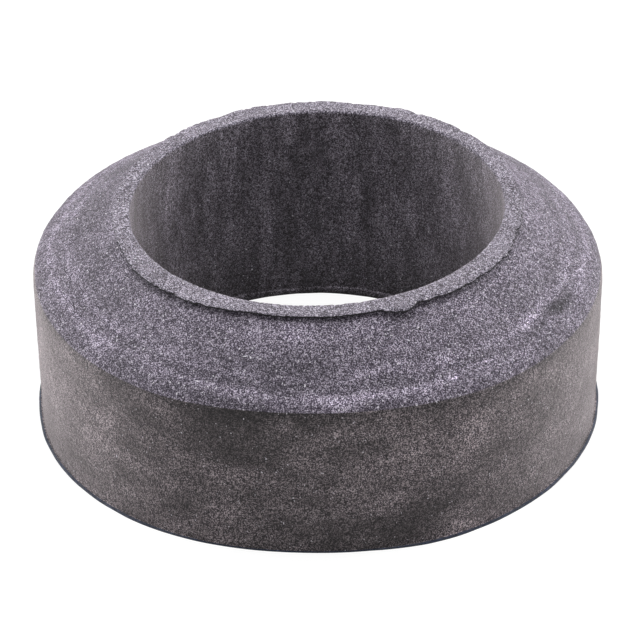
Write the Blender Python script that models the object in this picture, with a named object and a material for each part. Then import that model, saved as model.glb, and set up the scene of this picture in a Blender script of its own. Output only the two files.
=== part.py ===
"""Tank to bowl gasket: one moulded ring of black sponge rubber, standing on its flat tank face.

The origin is the middle of the tank face, +Z runs up the bore, and -Y is the front. All sizes are in metres.
"""

import math

import bmesh
import bpy

# Main section
SHOULDER_RADIUS = 0.0447
SHOULDER_HEIGHT = 0.0249
SHOULDER_ROUNDING = 0.0033
FOOT_RADIUS = 0.0444
HEIGHT = 0.0345
BORE_RADIUS = 0.0291
BORE_EDGE_ROUNDING = 0.0004
LAND_WIDTH = 0.0027

# Flash lip round the land: a torn skin that overhangs the top of the cone
LIP_THICKNESS = 0.0007
LIP_EDGE_THICKNESS = 0.0003
LIP_OVERHANG = 0.0004
LIP_LEAST_OVERHANG = 0.0001

# Flash fins at the parting line round both edges of the tank face
FIN_THICKNESS = 0.0004
OUTER_FIN_REACH = 0.0005
BORE_FIN_REACH = 0.0003
# The outer fin is gone at the front: it runs out over one stretch, in degrees from +X, and comes back over
# the other
FIN_RUNS_OUT = (-130, -110)
FIN_COMES_BACK = (-80, -68)

# The ring came out of its mould a little out of true: above the shoulder its top rises by so much for each
# metre along X, and the top lies so far behind the foot
LEAN_X = 0.0247
TOP_SHIFT_Y = 0.0005

# Where the outer wall is out of round: what it is, its middle and half width in degrees from +X, and how
# far it stands out at the foot and at the shoulder
WALL_WAVES = (
    ("front, pressed in at the shoulder", -89, 36, 0.0, -0.0012),
    ("front, flat at the foot", -90, 24, -0.0003, 0.0),
    ("left front bulge", -134, 42, 0.0006, 0.0006),
    ("right front bulge", -40, 55, 0.00035, 0.0001),
    ("right shoulder", -20, 45, 0.0, 0.0002),
    ("left foot, worn", 180, 25, -0.00025, 0.0),
)

# Torn flash round the land: what it is, its middle and half width in degrees from +X, extra reach, droop
LIP_TEARS = (
    ("left front skirt", -135, 32, 0.0010, 0.0002),
    ("front edge", -88, 20, 0.0003, 0.0),
    ("front tongue", -67, 4.5, 0.0011, 0.0002),
    ("right front skirt", -45, 27, 0.0008, 0.0002),
    ("right front tab", -28, 8, 0.0005, 0.0),
    ("right side, narrow", 9, 17, -0.0008, 0.0),
    ("right rear, narrow", 38, 12, -0.0001, 0.0),
    ("right rear lump", 55, 5, 0.0003, 0.0),
    ("second rear lump", 65, 5, 0.0004, 0.0),
    ("rear edge", 97, 22, 0.0005, 0.0),
    ("third rear lump", 113, 10, 0.0005, 0.0),
    ("left rear lump", 127, 8, 0.0005, 0.0),
    ("left rear edge", 139, 9, 0.0003, 0.0),
    ("left side, worn away", 182, 38, -0.0003, 0.0),
)
# A torn edge wanders by these waves: waves per turn, phase in radians, height
TORN_EDGE_WAVES = ((17, 0.6, 0.00006), (29, 2.1, 0.00005), (43, 4.0, 0.00004))
# The fins are less torn than the lip: their edges wander by this share of those waves
FIN_TORN_SHARE = 0.4

# How finely the ring and its corners are divided
TURN_STEPS = 216
SHOULDER_STEPS = 5
BORE_EDGE_STEPS = 2


def clear_scene():
    for old in list(bpy.data.objects):
        bpy.data.objects.remove(old, do_unlink=True)


def between(start, end, share):
    """The point that lies the given share of the way from start to end."""
    return tuple(a + (b - a) * share for a, b in zip(start, end))


def rounded_corner(before, corner, after, radius, steps):
    """Points along the arc that rounds a corner of the section between the sides to before and after."""
    to_before = math.atan2(before[1] - corner[1], before[0] - corner[0])
    to_after = math.atan2(after[1] - corner[1], after[0] - corner[0])
    opening = math.remainder(to_after - to_before, math.tau)
    middle = to_before + opening / 2
    centre_distance = radius / abs(math.sin(opening / 2))
    centre_x = corner[0] + centre_distance * math.cos(middle)
    centre_z = corner[1] + centre_distance * math.sin(middle)
    sweep = opening - math.copysign(math.pi, opening)
    arc = []
    for step in range(steps + 1):
        angle = middle + math.pi + sweep * (step / steps - 0.5)
        arc.append((centre_x + radius * math.cos(angle), centre_z + radius * math.sin(angle)))
    return arc


def section():
    """Half section of the ring as (radius, height, kind of edge), once round from the foot of the bore."""
    foot = (FOOT_RADIUS, 0)
    shoulder = (SHOULDER_RADIUS, SHOULDER_HEIGHT)
    neck = (BORE_RADIUS + LAND_WIDTH, HEIGHT - LIP_THICKNESS)
    bore_top = (BORE_RADIUS, HEIGHT)

    fins = [
        (BORE_RADIUS - BORE_FIN_REACH, 0, "bore fin"),
        (FOOT_RADIUS + OUTER_FIN_REACH, 0, "outer fin"),
        (FOOT_RADIUS + OUTER_FIN_REACH, FIN_THICKNESS / 2, "outer fin"),
    ]
    wall_root = between(foot, shoulder, FIN_THICKNESS / SHOULDER_HEIGHT)
    wall = [wall_root, between(wall_root, shoulder, 0.5)]
    turn = rounded_corner(foot, shoulder, neck, SHOULDER_ROUNDING, SHOULDER_STEPS)
    cone = [between(shoulder, neck, 0.5)]
    lip = [
        neck + ("neck",),
        (neck[0] + LIP_OVERHANG, HEIGHT - LIP_EDGE_THICKNESS, "lip edge"),
        (neck[0] + LIP_OVERHANG, HEIGHT - LIP_EDGE_THICKNESS / 3, "lip edge"),
        (neck[0] + LIP_OVERHANG - LIP_EDGE_THICKNESS / 2, HEIGHT, "lip edge"),
        (neck[0] - LAND_WIDTH / 3, HEIGHT, "plain"),
    ]
    land_inside = (neck[0], HEIGHT)
    bore_foot = (BORE_RADIUS, 0)
    rim = rounded_corner(land_inside, bore_top, bore_foot, BORE_EDGE_ROUNDING, BORE_EDGE_STEPS)
    bore = [between(bore_top, bore_foot, share) for share in (0.35, 0.7)]
    bore_fin = [
        (BORE_RADIUS, FIN_THICKNESS * 2, "plain"),
        (BORE_RADIUS - BORE_FIN_REACH, FIN_THICKNESS, "bore fin"),
    ]
    body = [point + ("outside",) for point in wall + turn + cone]
    inside = [point + ("plain",) for point in rim + bore]
    return fins + body + lip + inside + bore_fin


def swell(angle, middle, half_width):
    """1 at the middle, falling to 0 at half_width to either side with soft ends; all in degrees."""
    away = abs(math.remainder(angle - middle, 360)) / half_width
    return (1 - away**2) ** 2 * (1 + away**2) if away < 1 else 0.0


def torn_waves(angle):
    """The small wander of a torn edge at an angle in degrees."""
    turn = math.radians(angle)
    return sum(height * math.sin(count * turn + phase) for count, phase, height in TORN_EDGE_WAVES)


def wall_wave(angle, height):
    """How far the outside stands out at an angle in degrees: it fades up the cone to nothing at the neck."""
    up_wall = min(height / SHOULDER_HEIGHT, 1)
    up_cone = max(0.0, (height - SHOULDER_HEIGHT) / (HEIGHT - LIP_THICKNESS - SHOULDER_HEIGHT))
    wave = 0.0
    for _, middle, half_width, at_foot, at_shoulder in WALL_WAVES:
        wave += swell(angle, middle, half_width) * (at_foot + (at_shoulder - at_foot) * up_wall)
    return wave * (1 - up_cone)


def fin_share(angle):
    """How much of the outer fin is left at an angle in degrees between -180 and 180."""
    gone = (angle - FIN_RUNS_OUT[0]) / (FIN_RUNS_OUT[1] - FIN_RUNS_OUT[0])
    back = (angle - FIN_COMES_BACK[0]) / (FIN_COMES_BACK[1] - FIN_COMES_BACK[0])
    return min(max(1 - gone, back, 0.0), 1.0)


def lip_shape(angle):
    """How far the lip reaches beyond its plain overhang, and how far it hangs down, at an angle in degrees."""
    reach = torn_waves(angle)
    droop = 0.0
    for _, middle, half_width, tear_reach, tear_droop in LIP_TEARS:
        share = swell(angle, middle, half_width)
        reach += share * tear_reach
        droop += share * tear_droop
    return reach, droop


def move_out_of_round(ring, kinds):
    """Moves each edge of the turned ring in and out, as the soft moulding and its torn flash really lie."""
    narrowest = LIP_LEAST_OVERHANG - LIP_OVERHANG
    for vert in ring.verts:
        outward = vert.co.xy.normalized()
        angle = math.degrees(math.atan2(outward.y, outward.x))
        kind = vert[kinds].decode()
        reach = 0.0
        if kind == "lip edge":
            reach, droop = lip_shape(angle)
            vert.co.z -= droop
        elif kind == "neck":
            reach = min(0.0, lip_shape(angle)[0] - narrowest)
        elif kind == "bore fin":
            reach = torn_waves(angle) * FIN_TORN_SHARE
        elif kind == "outer fin":
            full = OUTER_FIN_REACH + torn_waves(angle) * FIN_TORN_SHARE
            reach = wall_wave(angle, vert.co.z) + full * fin_share(angle) - OUTER_FIN_REACH
        elif kind == "outside":
            reach = wall_wave(angle, vert.co.z)
        vert.co.xy += outward * reach


def lean_top(ring):
    """Tilts what is above the shoulder and shifts the ring back, more the higher a point lies."""
    for vert in ring.verts:
        share = vert.co.z / HEIGHT
        above_shoulder = max(0.0, (vert.co.z - SHOULDER_HEIGHT) / (HEIGHT - SHOULDER_HEIGHT))
        vert.co.z += LEAN_X * vert.co.x * above_shoulder
        vert.co.y += TOP_SHIFT_Y * share


def centre_on_origin(ring):
    """Slides the ring on its tank face until the box round it is centred on the origin."""
    for axis in (0, 1):
        places = [vert.co[axis] for vert in ring.verts]
        middle = (min(places) + max(places)) / 2
        for vert in ring.verts:
            vert.co[axis] -= middle


def ring_mesh():
    """The section turned through a full circle, then put out of true."""
    ring = bmesh.new()
    kinds = ring.verts.layers.string.new("kind")
    loop = []
    for radius, height, kind in section():
        vert = ring.verts.new((radius, 0, height))
        vert[kinds] = kind.encode()
        loop.append(vert)
    edges = [ring.edges.new(pair) for pair in zip(loop, loop[1:] + loop[:1])]
    bmesh.ops.spin(
        ring,
        geom=loop + edges,
        cent=(0, 0, 0),
        axis=(0, 0, 1),
        angle=math.tau,
        steps=TURN_STEPS,
        use_merge=True,
    )
    move_out_of_round(ring, kinds)
    lean_top(ring)
    centre_on_origin(ring)
    bmesh.ops.recalc_face_normals(ring, faces=ring.faces)
    mesh = bpy.data.meshes.new("gasket")
    ring.to_mesh(mesh)
    ring.free()
    mesh.shade_smooth()
    mesh.set_sharp_from_angle(angle=math.radians(30))
    return mesh


def sponge_rubber():
    """Dusty black sponge rubber: dark, quite matt, no gloss."""
    material = bpy.data.materials.new("black_sponge_rubber")
    material.use_nodes = True
    shader = material.node_tree.nodes["Principled BSDF"]
    shader.inputs["Base Color"].default_value = (0.105, 0.098, 0.118, 1)
    shader.inputs["Roughness"].default_value = 0.95
    shader.inputs["Metallic"].default_value = 0.0
    return material


def make_gasket():
    gasket = bpy.data.objects.new("gasket", ring_mesh())
    gasket.data.materials.append(sponge_rubber())
    bpy.context.scene.collection.objects.link(gasket)
    return gasket


clear_scene()
make_gasket()
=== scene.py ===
# %% [markdown]
# # Tank to bowl gasket: its looks
#
# The gasket is one ring of dusty black sponge rubber. It was moulded in one shot, and it stands on its flat
# tank face. The solid model gives its true size and its plain form. This lesson turns the same section again
# with far finer steps, tears and roughens it as the real moulding is, and gives it a procedural finish.

# %% Load the solid model
import math

import bmesh
import bpy
from mathutils import Euler, Matrix, Vector, noise


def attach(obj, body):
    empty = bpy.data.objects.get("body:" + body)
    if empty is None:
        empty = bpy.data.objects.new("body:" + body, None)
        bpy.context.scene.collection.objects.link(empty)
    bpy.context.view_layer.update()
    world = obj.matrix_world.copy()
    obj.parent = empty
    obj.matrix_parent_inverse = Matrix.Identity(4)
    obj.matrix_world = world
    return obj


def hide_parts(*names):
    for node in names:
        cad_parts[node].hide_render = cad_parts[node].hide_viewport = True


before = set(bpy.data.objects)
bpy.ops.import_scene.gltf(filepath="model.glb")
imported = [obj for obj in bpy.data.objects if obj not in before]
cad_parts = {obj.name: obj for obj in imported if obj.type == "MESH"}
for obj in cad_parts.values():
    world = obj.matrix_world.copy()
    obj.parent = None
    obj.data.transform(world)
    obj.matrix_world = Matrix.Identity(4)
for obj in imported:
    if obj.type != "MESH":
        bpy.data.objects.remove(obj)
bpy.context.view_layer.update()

MM = 0.001
print("solid nodes:", len(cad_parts))

# %% [markdown]
# ## The section
#
# On the real gasket a near-upright wall meets a cone at a rounded shoulder, and the cone ends under a thin
# lip of flash round a narrow flat land. The section could be a list of many points. It is easier to change
# as a few corners, which a vertex bevel rounds, so the corners carry the real sizes and nothing else.

# %% The driving sizes, in metres
SHOULDER_RADIUS = 44.7 * MM
SHOULDER_HEIGHT = 24.9 * MM
SHOULDER_ROUNDING = 3.3 * MM
FOOT_RADIUS = 44.4 * MM
HEIGHT = 34.5 * MM
BORE_RADIUS = 29.1 * MM
BORE_EDGE_ROUNDING = 0.4 * MM
LAND_WIDTH = 2.7 * MM
LIP_THICKNESS = 0.7 * MM
LIP_EDGE_THICKNESS = 0.3 * MM
LIP_EDGE_ROUNDING = LIP_EDGE_THICKNESS * 0.6
LIP_OVERHANG = 0.4 * MM
LIP_LEAST_OVERHANG = 0.1 * MM
FIN_THICKNESS = 0.4 * MM
OUTER_FIN_REACH = 0.5 * MM
BORE_FIN_REACH = 0.3 * MM
NECK_RADIUS = BORE_RADIUS + LAND_WIDTH
LAND_INSIDE = NECK_RADIUS - LAND_WIDTH / 3
NECK_HEIGHT = HEIGHT - LIP_THICKNESS
print("sponge rubber at the foot, from bore to wall, in mm:", round((FOOT_RADIUS - BORE_RADIUS) / MM, 1))

# %% The section's corners, and the roundings of three of them
CORNERS = [
    (BORE_RADIUS - BORE_FIN_REACH, 0),
    (FOOT_RADIUS + OUTER_FIN_REACH, 0),
    (FOOT_RADIUS + OUTER_FIN_REACH, FIN_THICKNESS / 2),
    (FOOT_RADIUS, FIN_THICKNESS),
    (SHOULDER_RADIUS, SHOULDER_HEIGHT),
    (NECK_RADIUS, NECK_HEIGHT),
    (NECK_RADIUS + LIP_OVERHANG, HEIGHT - LIP_EDGE_THICKNESS),
    (NECK_RADIUS + LIP_OVERHANG, HEIGHT),
    (BORE_RADIUS, HEIGHT),
    (BORE_RADIUS, FIN_THICKNESS * 2),
    (BORE_RADIUS - BORE_FIN_REACH, FIN_THICKNESS),
]
# The shoulder, the lip's top edge and the bore's edge: the place in the list, the radius and the steps.
ROUNDINGS = {4: (SHOULDER_ROUNDING, 9), 7: (LIP_EDGE_ROUNDING, 3), 8: (BORE_EDGE_ROUNDING, 3)}
print("corners:", len(CORNERS), "and rounded:", len(ROUNDINGS))


# %% Draw the section as a loop
def section_loop(ring):
    """The section as a closed loop of edges in the plane of X and Z."""
    corners = [ring.verts.new((radius, 0, height)) for radius, height in CORNERS]
    ring.faces.new(corners)
    for index, (rounding, steps) in ROUNDINGS.items():
        before = Vector(CORNERS[index - 1])
        corner = Vector(CORNERS[index])
        after = Vector(CORNERS[index + 1])
        opening = (before - corner).angle(after - corner)
        bmesh.ops.bevel(
            ring,
            geom=[corners[index]],
            affect="VERTICES",
            offset=rounding / math.tan(opening / 2),
            segments=steps,
            profile=0.5,
            material=-1,
        )
    bmesh.ops.delete(ring, geom=list(ring.faces), context="FACES_ONLY")


gasket_mesh = bmesh.new()
section_loop(gasket_mesh)
print("points in the rounded section:", len(gasket_mesh.verts))

# %% [markdown]
# ## Fine steps where the eye looks
#
# The ring needs the smallest faces at its torn edges and small ones on the outside. Those in the bore can be
# longer, and those under its foot the longest. A remesh would spend the same on all of it. Here each edge of
# the section is cut to a length that suits its place before it is spun.

# %% Cut the section's edges to length
OUTSIDE_STEP = 0.45 * MM
LIP_STEP = 0.1 * MM
LAND_STEP = 0.42 * MM
BORE_STEP = 0.9 * MM
FOOT_STEP = 5 * MM


def step_length(radius, height):
    """How long the section's steps may be at a place."""
    if height < FIN_THICKNESS / 4:
        return FOOT_STEP
    if radius < BORE_RADIUS + BORE_EDGE_ROUNDING and height < HEIGHT - BORE_EDGE_ROUNDING:
        return BORE_STEP
    if radius < LAND_INSIDE:
        return LAND_STEP
    if height > NECK_HEIGHT - LIP_EDGE_THICKNESS / 4 or height < FIN_THICKNESS:
        return LIP_STEP
    return OUTSIDE_STEP


def cut_to_length(ring):
    """Cuts each edge of the section into even steps."""
    for edge in list(ring.edges):
        middle = (edge.verts[0].co + edge.verts[1].co) / 2
        cuts = math.ceil(edge.calc_length() / step_length(middle.x, middle.z)) - 1
        if cuts > 0:
            bmesh.ops.subdivide_edges(ring, edges=[edge], cuts=cuts)


cut_to_length(gasket_mesh)
print("points in the cut section:", len(gasket_mesh.verts))

# %% Turn the section
TURN_STEPS = 576
bmesh.ops.spin(
    gasket_mesh,
    geom=list(gasket_mesh.verts) + list(gasket_mesh.edges),
    cent=(0, 0, 0),
    axis=(0, 0, 1),
    angle=math.tau,
    steps=TURN_STEPS,
    use_merge=True,
)
bmesh.ops.recalc_face_normals(gasket_mesh, faces=gasket_mesh.faces)
print("turned ring:", len(gasket_mesh.faces), "faces")

# %% [markdown]
# ## Six kinds of surface
#
# The rubber is the same all through, but the mould, the trimming knife and the dust leave five surfaces: the
# grainy cone, the browner wall, the pale land, the streaked bore, and the bluish skin on the fin at the foot.
# The sixth, the gap under the lip, is painted near-black as shade. They could be told apart by height in one
# big material. Giving each its own faces keeps the borders as crisp as they are, and each material short.

# %% Sort the faces
SURFACES = ["cone", "wall", "land", "gap", "bore", "fin"]
BORDER_HEIGHT = 24.35 * MM


def surface_at(radius, height):
    """The kind of surface at a place on the section."""
    if radius < BORE_RADIUS + BORE_EDGE_ROUNDING / 20:
        return "bore"
    if height < FIN_THICKNESS and radius > FOOT_RADIUS + OUTER_FIN_REACH * 0.35:
        return "fin"
    rim = radius < LAND_INSIDE and height > NECK_HEIGHT
    if rim or height > HEIGHT - LIP_EDGE_THICKNESS * 0.4:
        return "land"
    # The neck under the lip gets the gap finish, which is painted shade.
    if radius < NECK_RADIUS + LIP_OVERHANG and height > NECK_HEIGHT - LIP_OVERHANG * 0.2:
        return "gap"
    return "cone" if height > BORDER_HEIGHT else "wall"


for face in gasket_mesh.faces:
    middle = face.calc_center_median()
    face.material_index = SURFACES.index(surface_at(middle.xy.length, middle.z))
    face.smooth = True
for index, surface in enumerate(SURFACES):
    print(surface, "faces:", sum(face.material_index == index for face in gasket_mesh.faces))

# %% [markdown]
# ## Out of round
#
# Sponge rubber is soft, so the real ring isn't a perfect turned shape: its front is pressed flat, its lip
# is torn and its top leans. Sculpting would do it once. Formulas with an angle, a width and a reach say
# what each fault is, and they are the ones that shaped the solid model, with the front tongue a bit larger.

# %% Waves, tears and trimmed flash
WALL_WAVES = (
    ("front, pressed in at the shoulder", -89, 36, 0.0, -1.2 * MM),
    ("front, flat at the foot", -90, 24, -0.3 * MM, 0.0),
    ("left front bulge", -134, 42, 0.6 * MM, 0.6 * MM),
    ("right front bulge", -40, 55, 0.35 * MM, 0.1 * MM),
    ("right shoulder", -20, 45, 0.0, 0.2 * MM),
    ("left foot, worn", 180, 25, -0.25 * MM, 0.0),
)
LIP_TEARS = (
    ("left front skirt", -135, 32, 1.0 * MM, 0.2 * MM),
    ("front edge", -88, 20, 0.3 * MM, 0.0),
    ("front tongue", -68, 5.5, 1.3 * MM, 0.3 * MM),
    ("right front skirt", -45, 27, 0.8 * MM, 0.2 * MM),
    ("right front tab", -28, 8, 0.5 * MM, 0.0),
    ("right side, narrow", 9, 17, -0.8 * MM, 0.0),
    ("right rear, narrow", 38, 12, -0.1 * MM, 0.0),
    ("right rear lump", 55, 5, 0.3 * MM, 0.0),
    ("second rear lump", 65, 5, 0.4 * MM, 0.0),
    ("rear edge", 97, 22, 0.5 * MM, 0.0),
    ("third rear lump", 113, 10, 0.5 * MM, 0.0),
    ("left rear lump", 127, 8, 0.5 * MM, 0.0),
    ("left rear edge", 139, 9, 0.3 * MM, 0.0),
    ("left side, worn away", 182, 38, -0.3 * MM, 0.0),
)
TORN_EDGE_WAVES = ((17, 0.6, 0.06 * MM), (29, 2.1, 0.05 * MM), (43, 4.0, 0.04 * MM))
FIN_RUNS_OUT = (-130, -110)
FIN_COMES_BACK = (-80, -68)
FIN_TORN_SHARE = 0.4
print("waves of the wall:", len(WALL_WAVES), "and tears of the lip:", len(LIP_TEARS))


# %% How far the wall, the lip and the fin stand out
def clamp(value):
    """The value, held between 0 and 1."""
    return min(max(value, 0.0), 1.0)


def swell(angle, middle, half_width):
    """1 at the middle, falling to 0 at half_width to either side with soft ends; all in degrees."""
    away = abs(math.remainder(angle - middle, 360)) / half_width
    return (1 - away**2) ** 2 * (1 + away**2) if away < 1 else 0.0


def torn_waves(angle):
    """The small wander of a torn edge at an angle in degrees."""
    turn = math.radians(angle)
    return sum(height * math.sin(count * turn + phase) for count, phase, height in TORN_EDGE_WAVES)


def wall_wave(angle, height):
    """How far the outside stands out at an angle; it fades up the cone to nothing at the neck."""
    up_wall = clamp(height / SHOULDER_HEIGHT)
    up_cone = clamp((height - SHOULDER_HEIGHT) / (NECK_HEIGHT - SHOULDER_HEIGHT))
    wave = 0.0
    for _, middle, half_width, at_foot, at_shoulder in WALL_WAVES:
        wave += swell(angle, middle, half_width) * (at_foot + (at_shoulder - at_foot) * up_wall)
    return wave * (1 - up_cone)


def lip_shape(angle):
    """How far the lip reaches beyond its plain overhang, and how far it hangs down."""
    shares = [(swell(angle, tear[1], tear[2]), tear[3], tear[4]) for tear in LIP_TEARS]
    reach = torn_waves(angle) + sum(share * tear_reach for share, tear_reach, _ in shares)
    return reach, sum(share * droop for share, _, droop in shares)


def fin_share(angle):
    """How much of the outer fin is left at an angle."""
    gone = (angle - FIN_RUNS_OUT[0]) / (FIN_RUNS_OUT[1] - FIN_RUNS_OUT[0])
    back = (angle - FIN_COMES_BACK[0]) / (FIN_COMES_BACK[1] - FIN_COMES_BACK[0])
    return clamp(max(1 - gone, back))


print("the lip's reach at the front tongue in mm:", round((LIP_OVERHANG + lip_shape(-68)[0]) / MM, 2))
print("the fin's share at the left, front and right:", [fin_share(angle) for angle in (-179, -95, 0)])

# %% [markdown]
# The torn edge of the real lip is ragged at a finer scale too: small nicks and crumbs a few tenths of a
# millimetre across. A random number for each step round would look like a saw. Noise that is smooth over a
# few steps gives nicks of differing width.

# %% Nicks in the torn edges
LIP_NICK = (0.8 * MM, 0.35 * MM)
HANGING_SHRED = (0.6 * MM, 0.3 * MM)
RIM_NICK = (0.55 * MM, 0.28 * MM)
# Noise seldom passes a half, so it is raised to let the deepest nicks reach their full depth.
NICK_GAIN = 1.8


def nick(angle, radius, nick_size):
    """How deep an edge is nicked at an angle, for nicks of a width and a depth; never below 0."""
    width, depth = nick_size
    turn = math.radians(angle)
    place = Vector((math.cos(turn), math.sin(turn), 0)) * radius / width
    return depth * clamp(noise.noise(place) * NICK_GAIN)


deepest = max(nick(angle, NECK_RADIUS, LIP_NICK) for angle in range(-180, 180))
print("deepest nick in the lip at whole degrees, in mm:", round(deepest / MM, 2))

# %% Where each point really lies
LIP_RADIUS = NECK_RADIUS + LIP_OVERHANG


def moved_lip(radius, height, angle):
    """Where a point of the lip or its neck really lies: its top stretches from the land, the neck stays."""
    reach, droop = lip_shape(angle)
    least_reach = LIP_LEAST_OVERHANG - LIP_OVERHANG
    at_neck = min(0.0, reach - least_reach)
    reach = max(reach - nick(angle, radius, LIP_NICK), least_reach + at_neck)
    past_neck = clamp((radius - NECK_RADIUS) / LIP_OVERHANG)
    on_top = reach * (radius - LAND_INSIDE) / (LIP_RADIUS - LAND_INSIDE)
    under = at_neck + (reach - at_neck) * past_neck
    depth = clamp((HEIGHT - height) / LIP_EDGE_THICKNESS)
    # The shreds take their noise from the far side, so they don't follow the nicks.
    drop = droop + nick(angle + 180, radius, HANGING_SHRED) * depth
    return radius + on_top + (under - on_top) * depth, height - drop * past_neck


def moved(radius, height, angle):
    """Where a point of the turned ring really lies."""
    if height > NECK_HEIGHT - LIP_EDGE_THICKNESS / 8 and radius > LAND_INSIDE:
        return moved_lip(radius, height, angle)
    if radius > FOOT_RADIUS and height < FIN_THICKNESS:
        full = OUTER_FIN_REACH + torn_waves(angle) * FIN_TORN_SHARE
        out = clamp((radius - FOOT_RADIUS) / OUTER_FIN_REACH)
        return radius + wall_wave(angle, height) + (full * fin_share(angle) - OUTER_FIN_REACH) * out, height
    if radius > NECK_RADIUS:
        return radius + wall_wave(angle, height), height
    if radius < BORE_RADIUS:
        inward = (BORE_RADIUS - radius) / BORE_FIN_REACH
        return radius + torn_waves(angle) * FIN_TORN_SHARE * inward, height
    from_rim = (radius - BORE_RADIUS + HEIGHT - height) / (2 * BORE_EDGE_ROUNDING)
    return radius + nick(angle, BORE_RADIUS, RIM_NICK) * clamp(1 - from_rim), height


print("the wall at the front shoulder in mm:", round(moved(SHOULDER_RADIUS, SHOULDER_HEIGHT, -90)[0] / MM, 2))

# %% Move the points and lean the top
LEAN_X = 0.0247
TOP_SHIFT_Y = 0.5 * MM
for vert in gasket_mesh.verts:
    outward = vert.co.xy.normalized()
    angle = math.degrees(math.atan2(outward.y, outward.x))
    radius, height = moved(vert.co.xy.length, vert.co.z, angle)
    above_shoulder = max(0.0, (height - SHOULDER_HEIGHT) / (HEIGHT - SHOULDER_HEIGHT))
    x, y = outward * radius
    vert.co = (x, y + TOP_SHIFT_Y * height / HEIGHT, height + LEAN_X * x * above_shoulder)
print("the leaning ring's top in mm:", round(max(vert.co.z for vert in gasket_mesh.verts) / MM, 2))

# %% Centre the ring as the solid is centred
MOVE = Vector((0, 0, 0))
for axis in (0, 1):
    places = [vert.co[axis] for vert in gasket_mesh.verts]
    MOVE[axis] = -(min(places) + max(places)) / 2
bmesh.ops.translate(gasket_mesh, verts=gasket_mesh.verts, vec=MOVE)
print("centred by, in mm:", [round(value / MM, 3) for value in MOVE])

# %% [markdown]
# ## Grain that has a shape
#
# Sponge rubber is blown with gas. Where it met the mould it has a skin with shallow dents, from half a
# millimetre to several across, and the mould's walls aren't true either. The dents that span two or more
# faces are real geometry here. Finer ones are left to the material's bump. All move inwards, so the ring
# doesn't grow.

# %% Dent the skin
# How deep the dents and the broad swells are on each kind of surface, in mm.
DENTS = {"cone": 0.11, "wall": 0.08, "land": 0.05, "gap": 0.02, "bore": 0.05, "fin": 0.03}
SWELLS = {"cone": 0.12, "wall": 0.1, "land": 0.03, "gap": 0.03, "bore": 0.06, "fin": 0.03}
DENT_WIDTH = 1.3 * MM
SWELL_WIDTH = 9 * MM
# How fast the finer dents fade, how much finer each layer is, and how many layers there are.
DENT_LAYERS = (0.8, 2.0, 3)
DENT_GAIN = 0.6
SWELL_GAIN = 0.7


def push(place, surface):
    """How far the skin lies inside its plain form at a place."""
    fine = clamp(0.5 + DENT_GAIN * noise.fractal(place / DENT_WIDTH, *DENT_LAYERS))
    broad = clamp(0.5 + SWELL_GAIN * noise.noise(place / SWELL_WIDTH))
    return (DENTS[surface] * fine + SWELLS[surface] * broad) * MM


# Where two surfaces meet, the shallower dent holds. The foot stays flat.
gasket_mesh.normal_update()
moves = []
for vert in gasket_mesh.verts:
    kinds = {SURFACES[face.material_index] for face in vert.link_faces}
    depth = min(push(vert.co, kind) for kind in kinds)
    inward = -vert.normal * depth
    if vert.co.z < FIN_THICKNESS / 4:
        inward.z = 0
    moves.append((vert, inward))
for vert, inward in moves:
    vert.co += inward
print("deepest dent in mm:", round(max(inward.length for _, inward in moves) / MM, 3))

# %% Make the object
SHARP_ANGLE = math.radians(48)
gasket_data = bpy.data.meshes.new("gasket_skin")
gasket_mesh.to_mesh(gasket_data)
gasket_mesh.free()
gasket_data.set_sharp_from_angle(angle=SHARP_ANGLE)
gasket_data.calc_loop_triangles()
print("triangles:", len(gasket_data.loop_triangles))
gasket = bpy.data.objects.new("gasket_skin", gasket_data)
bpy.context.scene.collection.objects.link(gasket)
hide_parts("gasket")
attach(gasket, "root")

# %% [markdown]
# ## Rubber, six times
#
# Black sponge rubber is carbon-black rubber full of closed cells. Light scatters in the cut cells and on the
# talc dust of the mould, so it isn't black but a mottled grey, with no gloss and a pale bloom at grazing
# angles. Each finish could be written out node by node. They are the same rubber, so one function makes them
# all, and each keeps only its own colours, mottling and marks.

# %% Helpers for colours and nodes
def linear(code):
    """An sRGB hex colour as the linear RGBA that a shader takes."""
    values = [int(code[place : place + 2], 16) / 255 for place in (1, 3, 5)]
    return [v / 12.92 if v <= 0.04045 else ((v + 0.055) / 1.055) ** 2.4 for v in values] + [1]


def add(tree, kind, links=None, **settings):
    """Adds a shader node. The links give its sockets a value, another node's output or its first output."""
    node = tree.nodes.new("ShaderNode" + kind)
    for name, value in settings.items():
        setattr(node, name, value)
    for socket, value in (links or {}).items():
        if isinstance(value, bpy.types.Node):
            value = value.outputs[0]
        if isinstance(value, bpy.types.NodeSocket):
            tree.links.new(value, node.inputs[socket])
        else:
            node.inputs[socket].default_value = value
    return node


print("mid grey #808080 in linear light:", round(linear("#808080")[0], 3))

# %% [markdown]
# ## Marks round the ring
#
# Handling has rubbed the cone in faint rings and left scuffs and smears on it. Some marks are painted light
# and shade: a painted highlight just above the shoulder and painted shade where it turns down, painted shade
# on the cone's left, painted shade under the wall's shoulder and at its front, painted light at its sides,
# painted shade towards the bore's foot and at its rear, and a painted highlight and shade on the bore's fin.
# The wall also has dark and pale patches. A painted texture could hold these. A mark with an angle, a
# distance from the axis and a height is easier to move and to read.

# %% A place as angle, distance from the axis and height
# The wander's width is in mm. Its reach is in degrees round, mm out from the axis and mm up.
WANDER_WIDTH = 9
WANDER = (4, 0.8, 0.5)


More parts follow.
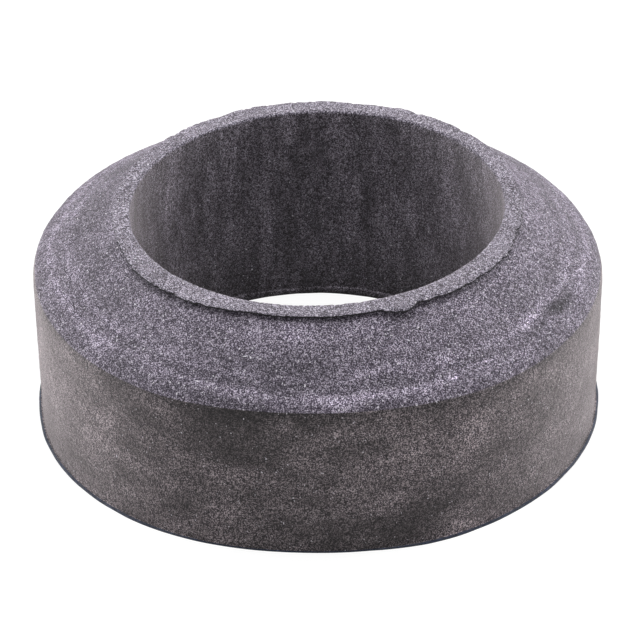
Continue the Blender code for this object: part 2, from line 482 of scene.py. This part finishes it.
def around(tree, place, facing):
    """A place's angle in degrees from +X, its distance from the axis and its height in mm, all a little off.

    The angles run 180 degrees to both sides of the one that is faced, so they break off behind it.
    """
    faced = add(tree, "VectorRotate", {0: place, "Angle": -math.radians(facing)}, rotation_type="Z_AXIS")
    along = add(tree, "SeparateXYZ", {0: faced})
    turn = add(tree, "Math", {0: along.outputs["Y"], 1: along.outputs["X"]}, operation="ARCTAN2")
    angle = add(tree, "Math", {0: turn, 1: math.degrees(1), 2: facing}, operation="MULTIPLY_ADD")
    flat = add(tree, "VectorMath", {0: place, 1: (1, 1, 0)}, operation="MULTIPLY")
    radius = add(tree, "VectorMath", {0: flat}, operation="LENGTH").outputs["Value"]
    true = add(tree, "CombineXYZ", {"X": angle, "Y": radius, "Z": along.outputs["Z"]})
    drift = add(tree, "TexNoise", {"Vector": place, "Scale": 1 / WANDER_WIDTH, "Detail": 3}, normalize=False)
    return add(tree, "VectorMath", {0: drift.outputs["Color"], 1: WANDER, 2: true}, operation="MULTIPLY_ADD")


print("width of the wander in mm:", WANDER_WIDTH)


# %% The marks
# What each is, its middle as (angle, radius, height), its reach each way, and how pale it is, or how dark
# below 0. Angles are in degrees from +X, the rest in mm.
ANY = 10000
FRONT = -90
REAR = 90
CONE_MARKS = (
    ("dust above the front", (-90, 33, 0), (50, 3, ANY), 0.3),
    # The next three are a painted highlight on the shoulder's turn and painted shade where it turns down.
    ("painted highlight over the shoulder", (0, 41.8, 0), (ANY, 0.8, ANY), 0.35),
    ("painted highlight on the front edge", (-82, 42.2, 0), (20, 1.5, ANY), 0.45),
    ("painted shade on the edge left of the front", (-105, 43.4, 0), (8, 0.9, ANY), -0.5),
    ("rubbed patch at the front", (-98, 38.8, 0), (20, 3.5, ANY), -0.4),
    # Painted shade: the left of the cone, darkened where the left lamp lights it.
    ("painted shade at the left of the cone", (-185, 35.5, 0), (60, 5.5, ANY), -0.5),
    ("pale arc at the right", (-31, 40.0, 0), (14, 0.7, ANY), 0.5),
    ("dark arc at the right", (-38, 41.5, 0), (34, 0.9, ANY), -0.5),
    ("dark smear at the right", (-27, 41.5, 0), (6, 1.6, ANY), -1.0),
    ("front scuff", (-61, 42.0, 0), (2.5, 0.35, ANY), 1.2),
    ("long front scuff", (-53, 41.3, 0), (7, 0.3, ANY), 1.0),
    ("pale patch beside the smear", (-36, 39.9, 0), (4, 1.6, ANY), 0.6),
)
WALL_MARKS = (
    # Painted shade under the shoulder: all round, and deeper at the front.
    ("painted shade under the shoulder", (0, 0, 24.2), (ANY, ANY, 2.5), -0.35),
    ("painted shade under the front shoulder", (-98, 0, 24), (30, ANY, 5), -0.6),
    ("mould's parting line", (0, 0, 24.3), (ANY, ANY, 0.4), -0.4),
    # Painted shade: the front of the wall, which faces away from the lamps, and a patch under its left front
    # shoulder.
    ("painted shade at the front", (-92, 0, 12), (34, ANY, 16), -0.2),
    ("painted shade under the left front shoulder", (-109, 0, 20), (14, ANY, 8), -1.1),
    ("dark patch at the middle of the front", (-99, 0, 15), (6, ANY, 4), -0.4),
    ("pale patch under the shoulder", (-98, 0, 22), (4, ANY, 2.5), 1.0),
    # Painted light: the wall made paler towards its sides, where the lamps and the grazing view brighten it.
    ("painted light right of the front", (-62, 0, 17), (13, ANY, 9), 0.5),
    ("painted light at the left side", (-154, 0, 16), (38, ANY, 15), 0.6),
    ("painted light at the right side", (-14, 0, 17), (14, ANY, 9), 0.4),
    ("dark front foot", (-86, 0, 3), (18, ANY, 6), -1.1),
    ("dark patch at the right front foot", (-71, 0, 4), (10, ANY, 6), -1.2),
    ("dark right foot", (-32, 0, 3), (32, ANY, 7), -0.6),
    ("scratch", (-78, 0, 16.5), (1.5, ANY, 0.3), 1.2),
    ("scored line", (-85.5, 0, 18.5), (2.5, ANY, 0.3), -0.8),
    ("low scored line", (-86, 0, 11.5), (2, ANY, 0.3), -0.8),
)
BORE_MARKS = (
    # All four are painted light and shade: shade towards the foot and at the rear, a highlight on the fin's
    # top edge and shade on its inner edge.
    ("painted shade at the bore's foot", (0, 0, 0), (ANY, ANY, 14), -0.8),
    ("painted shade at the bore's rear", (105, 0, 18), (25, ANY, 18), -0.4),
    ("painted highlight over the fin", (0, 0, 0.9), (ANY, ANY, 0.35), 1.0),
    ("painted shade at the fin's edge", (0, 0, 0), (ANY, ANY, 0.5), -1.0),
)
print("marks on the cone, wall and bore:", len(CONE_MARKS), len(WALL_MARKS), len(BORE_MARKS))

# %% [markdown]
# ## The rubber
#
# Seen close, the rubber is grain with coarser pits, then clouds and rings, then the marks and specks of dust.
# One long function could make it all. Each layer has its own here, so it can be tried alone. The real cells
# are about a tenth of a millimetre wide, too fine to show in a view of the whole ring, so the grain is drawn
# at twice that.

# %% Grain
GRAIN_WIDTH = 0.19
PIT_WIDTH = 0.6
PIT_STRENGTH = 0.8
NOISE_ROUGHNESS = 0.6


def grained(tree, place, grain, colours):
    """Grain and pits in a dark, a middle and a light colour, and the relief that goes with them."""
    share = 0.5 - (grain + PIT_STRENGTH) / 2
    mottles = []
    for width, detail, strength in ((GRAIN_WIDTH, 3, grain), (PIT_WIDTH, 1, PIT_STRENGTH)):
        links = {"Vector": place, "Scale": 1 / width, "Detail": detail, "Roughness": NOISE_ROUGHNESS}
        mottles.append(add(tree, "TexNoise", links))
        share = add(tree, "Math", {0: mottles[-1], 1: strength, 2: share}, operation="MULTIPLY_ADD")
    ramp = add(tree, "ValToRGB", {"Fac": share})
    ramp.color_ramp.elements.new(0.5)
    for stop, colour in zip(ramp.color_ramp.elements, colours):
        stop.color = linear(colour)
    return ramp, add(tree, "Math", {0: mottles[0], 1: mottles[1]}, operation="ADD")


print("widths of grain and pits in mm:", GRAIN_WIDTH, PIT_WIDTH)

# %% Mottling and marks
CLOUD_WIDTH = 3.5
BLOTCH_WIDTH = 8
RING_WIDTH = 1.6


def toned(tree, colour, mottling, polar, marks):
    """A colour, made darker and paler by broad mottling and by the marks.

    Their shares are added up and taken as a power of e, so they scale the colour and its grain still shows.
    """
    toning = -sum(strength for *_, strength in mottling) / 2
    for vector, width, detail, strength in mottling:
        links = {"Vector": vector, "Scale": 1 / width, "Detail": detail, "Roughness": NOISE_ROUGHNESS}
        mottle = add(tree, "TexNoise", links)
        toning = add(tree, "Math", {0: mottle, 1: strength, 2: toning}, operation="MULTIPLY_ADD")
    for _, middle, size, change in marks:
        local = add(tree, "Mapping", {0: polar, "Location": middle, "Scale": size}, vector_type="TEXTURE")
        away = add(tree, "VectorMath", {0: local}, operation="LENGTH").outputs["Value"]
        fade = {"Value": away, "From Min": 1.0, "From Max": 0.0, "To Max": change}
        mark = add(tree, "MapRange", fade, interpolation_type="SMOOTHSTEP")
        toning = add(tree, "Math", {0: toning, 1: mark}, operation="ADD")
    tone = add(tree, "Math", {0: toning}, operation="EXPONENT")
    return add(tree, "VectorMath", {0: colour, "Scale": tone}, operation="SCALE")


print("widths of clouds, blotches and rings in mm:", CLOUD_WIDTH, BLOTCH_WIDTH, RING_WIDTH)

# %% Dust
SPECK_WIDTH = 0.32
SPECK_EDGE = 0.04
DUST_WHITE = "#d4d0d8"


def dusted(tree, colour, place, speck):
    """A colour with white specks of dust, where a noise passes the speck level."""
    dust = add(tree, "TexNoise", {"Vector": place, "Scale": 1 / SPECK_WIDTH, "Detail": 0})
    specks = add(tree, "MapRange", {"Value": dust, "From Min": speck, "From Max": speck + SPECK_EDGE})
    mixed = add(tree, "Mix", {"Factor": specks, 6: colour, 7: linear(DUST_WHITE)}, data_type="RGBA")
    return mixed.outputs[2]


print("width of the specks in mm:", SPECK_WIDTH)

# %% Sponge rubber
BUMP_STRENGTH = 0.6
BUMP_DEPTH = 0.2 * MM
SPECULAR_LEVEL = 0.3
SHEEN_ROUGHNESS = 0.4
SHEEN_TINT = "#fff4f6"


def sponge_rubber(name, colours, grain, cloud=0.6, blotch=0.4, ring=0.0, streak=(1, 1, 1), speck=0.76,
                  roughness=0.75, sheen=0.25, facing=FRONT, marks=()):
    """Sponge rubber: grain in three colours, toned by broad mottling and its marks, and dusted.

    The grain, cloud, blotch and ring are strengths. A streak below 1 draws the clouds out along that axis.
    """
    material = bpy.data.materials.new(name)
    material.use_nodes = True
    tree = material.node_tree
    place = add(tree, "Mapping", {"Vector": add(tree, "TexCoord").outputs["Object"], "Scale": [1 / MM] * 3})
    drawn = add(tree, "Mapping", {"Vector": place, "Scale": streak})
    polar = around(tree, place, facing)
    radial = add(tree, "VectorMath", {0: polar, 1: (0, 1, 0)}, operation="MULTIPLY")
    mottling = (
        (drawn, CLOUD_WIDTH, 4, cloud),
        (drawn, BLOTCH_WIDTH, 1, blotch),
        (radial, RING_WIDTH, 1, ring),
    )
    rubber, relief = grained(tree, place, grain, colours)
    rubber = toned(tree, rubber, mottling, polar, marks)
    rubber = dusted(tree, rubber, place, speck)
    bump = add(tree, "Bump", {"Height": relief, "Strength": BUMP_STRENGTH, "Distance": BUMP_DEPTH})
    shader = tree.nodes["Principled BSDF"]
    tree.links.new(rubber, shader.inputs["Base Color"])
    tree.links.new(bump.outputs["Normal"], shader.inputs["Normal"])
    shader.inputs["Roughness"].default_value = roughness
    shader.inputs["Specular IOR Level"].default_value = SPECULAR_LEVEL
    shader.inputs["Sheen Weight"].default_value = sheen
    shader.inputs["Sheen Roughness"].default_value = SHEEN_ROUGHNESS
    shader.inputs["Sheen Tint"].default_value = linear(SHEEN_TINT)
    return material


print("depth of the bump in mm:", round(BUMP_DEPTH / MM, 2))


# %% Make the finishes
FINISHES = {
    # Moulded skin, dusted and rubbed by hands: a coarse violet grey, in faint rings.
    "cone": sponge_rubber("sponge_rubber_cone", ("#1c1821", "#4b4451", "#b8b0bf"), 3.5, cloud=1.0,
                          blotch=0.9, ring=1.0, sheen=0.1, marks=CONE_MARKS),
    # Moulded skin that slid out of the mould: browner, strong in grain and clouds, pale where it turns away.
    "wall": sponge_rubber("sponge_rubber_wall", ("#151317", "#413b3f", "#a3989b"), 4.4, cloud=2.4,
                          blotch=2.0, streak=(0.55, 0.55, 1), speck=0.8, roughness=0.6, sheen=0.6,
                          marks=WALL_MARKS),
    # Trimmed with a knife, so its cells are open: the palest.
    "land": sponge_rubber("sponge_rubber_land", ("#19151c", "#5a5460", "#c3bdcb"), 3.8),
    # Neither dusted nor touched: nearly black.
    # Painted shade under the lip: nearly black, with few specks of dust.
    "gap": sponge_rubber("sponge_rubber_gap_painted_shade", ("#100f11", "#201e22", "#3a373d"), 2.5, sheen=0.0, speck=0.9),
    # Drawn off the mould's core: dark, streaked up and down.
    "bore": sponge_rubber("sponge_rubber_bore", ("#1a171b", "#4d484f", "#a19ba6"), 3.9, cloud=2.3,
                          blotch=1.8, streak=(1.6, 1.6, 0.5), speck=0.8, sheen=0.5, facing=REAR,
                          marks=BORE_MARKS),
    # A squeezed-out film of flash: smooth, bluish, the only finish with a little gloss.
    "fin": sponge_rubber("sponge_rubber_fin", ("#13161f", "#242b3c", "#3f4a66"), 1.7, speck=0.95,
                         roughness=0.35, sheen=0.0),
}
for surface in SURFACES:
    gasket.data.materials.append(FINISHES[surface])
print("finishes:", ", ".join(material.name for material in gasket.data.materials))

# %% [markdown]
# ## Floor, world and lamps
#
# The gasket stands on white, under soft light from all round and a little behind. A floor lit white by
# lamps would light the ring from below too. One that glows towards the camera alone is white without that,
# and its plain share still takes the ring's shadow.

# %% Floor
FLOOR_SIDE = 6
bpy.ops.mesh.primitive_plane_add(size=FLOOR_SIDE)
floor = bpy.context.object
floor.name = "floor"
floor_paint = bpy.data.materials.new("white_floor")
floor_paint.use_nodes = True
tree = floor_paint.node_tree
tree.nodes.clear()
camera_ray = add(tree, "LightPath").outputs["Is Camera Ray"]
plain = add(tree, "BsdfDiffuse", {"Color": linear("#d3d3d3")})
thin = add(tree, "BsdfDiffuse", {"Color": linear("#7c7c7c")})
glow = add(tree, "Emission", {"Color": linear("#ffffff"), "Strength": 0.86})
seen = add(tree, "AddShader", {0: thin, 1: glow})
paint = add(tree, "MixShader", {0: camera_ray, 1: plain, 2: seen})
add(tree, "OutputMaterial", {"Surface": paint})
floor.data.materials.append(floor_paint)
print("floor's size in metres:", [round(side, 2) for side in floor.dimensions])

# %% World
world = bpy.data.worlds.new("studio")
bpy.context.scene.world = world
world.use_nodes = True
tree = world.node_tree
tree.nodes.clear()
path = add(tree, "LightPath")
soft = add(tree, "Background", {"Color": linear("#ffffff"), "Strength": 0.4})
white = add(tree, "Background", {"Color": linear("#ffffff"), "Strength": 1.0})
direct = add(tree, "Math", {0: path.outputs["Is Camera Ray"], 1: path.outputs["Is Glossy Ray"]},
             operation="MAXIMUM")
shown = add(tree, "Math", {0: direct, 1: path.outputs["Is Transmission Ray"]}, operation="MAXIMUM")
sky = add(tree, "MixShader", {0: shown, 1: soft, 2: white})
add(tree, "OutputWorld", {"Surface": sky})
print("the world's light on the ring:", round(soft.inputs["Strength"].default_value, 2))


# %% Lamps
def softbox(name, place, size, watts):
    """A square area lamp that points at the middle of the ring."""
    lamp = bpy.data.lights.new(name, "AREA")
    lamp.size = size
    lamp.energy = watts
    box = bpy.data.objects.new(name, lamp)
    box.location = place
    box.rotation_euler = (Vector((0, 0, HEIGHT / 2)) - Vector(place)).to_track_quat("-Z", "Y").to_euler()
    bpy.context.scene.collection.objects.link(box)


softbox("top_box", (0, 0.05, 0.9), 0.6, 6)
softbox("left_box", (-0.8, 0.4, 0.2), 0.5, 7.5)
softbox("right_box", (0.8, 0.4, 0.2), 0.5, 7.5)
print("lamps:", [lamp.name for lamp in bpy.data.lights])

# %% [markdown]
# ## Camera
#
# The photograph is a studio close-up taken with a long lens from about 33 degrees above. Its distance, lens
# and aim could be set by eye. They were fitted to the ring's outline, its land and the bright sliver seen
# through its bore, because that also gives the ring's own proportions.

# %% Camera
ELEVATION = math.radians(32.834)
DISTANCE = 562.36 * MM
AIM = Vector((0.434 * MM, 0, 13.227 * MM)) + MOVE
ROLL = math.radians(-0.131)
LENS = 199.32
camera_data = bpy.data.cameras.new("camera")
camera_data.sensor_width = 36
camera_data.lens = LENS
camera = bpy.data.objects.new("camera", camera_data)
camera.location = AIM + DISTANCE * Vector((0, -math.cos(ELEVATION), math.sin(ELEVATION)))
turn = Euler((math.pi / 2 - ELEVATION, 0, 0)).to_matrix().to_4x4() @ Matrix.Rotation(ROLL, 4, "Z")
camera.rotation_euler = turn.to_euler()
bpy.context.scene.collection.objects.link(camera)
bpy.context.scene.camera = camera
bpy.context.scene.view_settings.view_transform = "Standard"
print("camera at, in mm:", [round(value / MM) for value in camera.location])
